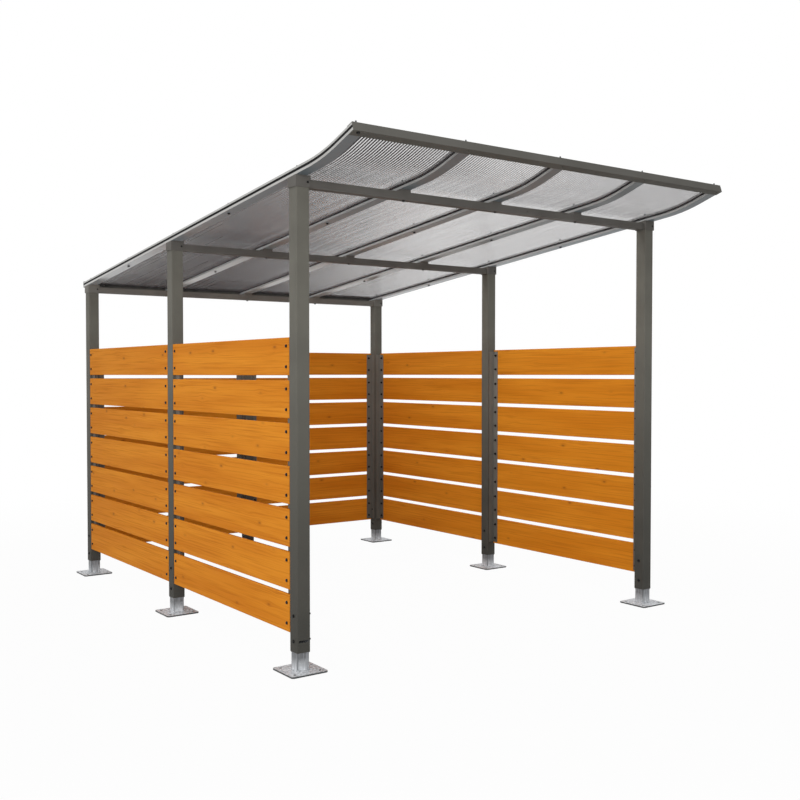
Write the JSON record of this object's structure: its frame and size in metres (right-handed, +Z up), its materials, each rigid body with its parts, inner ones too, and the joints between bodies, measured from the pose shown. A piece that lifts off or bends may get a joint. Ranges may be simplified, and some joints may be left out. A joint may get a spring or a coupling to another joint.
{
  "type": "bike shelter",
  "caption": "Open-fronted bike shelter with square steel posts on bolted feet, boarded side and rear walls and a clamped twin-wall roof that bends up over the entrance.",
  "frame": {"origin": "middle of the footprint's bounding box, on the ground under the base plates", "axes": "+Z up, +Y to the rear wall, +X to the right as seen from the open front; the entrance faces -Y"},
  "size_m": [2.655, 3.581, 2.5194],
  "materials": {
    "powdercoat": "satin warm grey powder coat",
    "galvanised": "hot-dip galvanised",
    "timber": "orange-brown stained softwood",
    "seal": "black rubber",
    "twinwall": "see-through twin-wall sheet",
    "aluminium": "satin grey extrusion"
  },
  "bodies": {
    "root": {"post_front_left": "powdercoat", "post_mid_left": "powdercoat", "post_rear_left": "powdercoat", "post_rear_mid": "powdercoat", "post_rear_right": "powdercoat", "post_mid_right": "powdercoat", "post_front_right": "powdercoat", "foot_front_left": "galvanised", "foot_mid_left": "galvanised", "foot_rear_left": "galvanised", "foot_rear_mid": "galvanised", "foot_rear_right": "galvanised", "foot_mid_right": "galvanised", "foot_front_right": "galvanised", "beam_front": "powdercoat", "beam_mid": "powdercoat", "beam_rear": "powdercoat", "rafter_1": "aluminium", "rafter_2": "aluminium", "rafter_3": "aluminium", "rafter_4": "aluminium", "rafter_5": "aluminium", "seals": "seal", "sheet_1": "twinwall", "sheet_2": "twinwall", "sheet_3": "twinwall", "sheet_4": "twinwall", "cap_1": "aluminium", "cap_2": "aluminium", "cap_3": "aluminium", "cap_4": "aluminium", "cap_5": "aluminium", "edge_front": "powdercoat", "edge_rear": "powdercoat", "boards_left_front": "timber", "boards_left_rear": "timber", "boards_right_front": "timber", "boards_right_rear": "timber", "boards_rear_left": "timber", "boards_rear_right": "timber", "angles_left": "powdercoat", "angles_right": "powdercoat", "angles_rear": "powdercoat"}
  },
  "joints": []
}
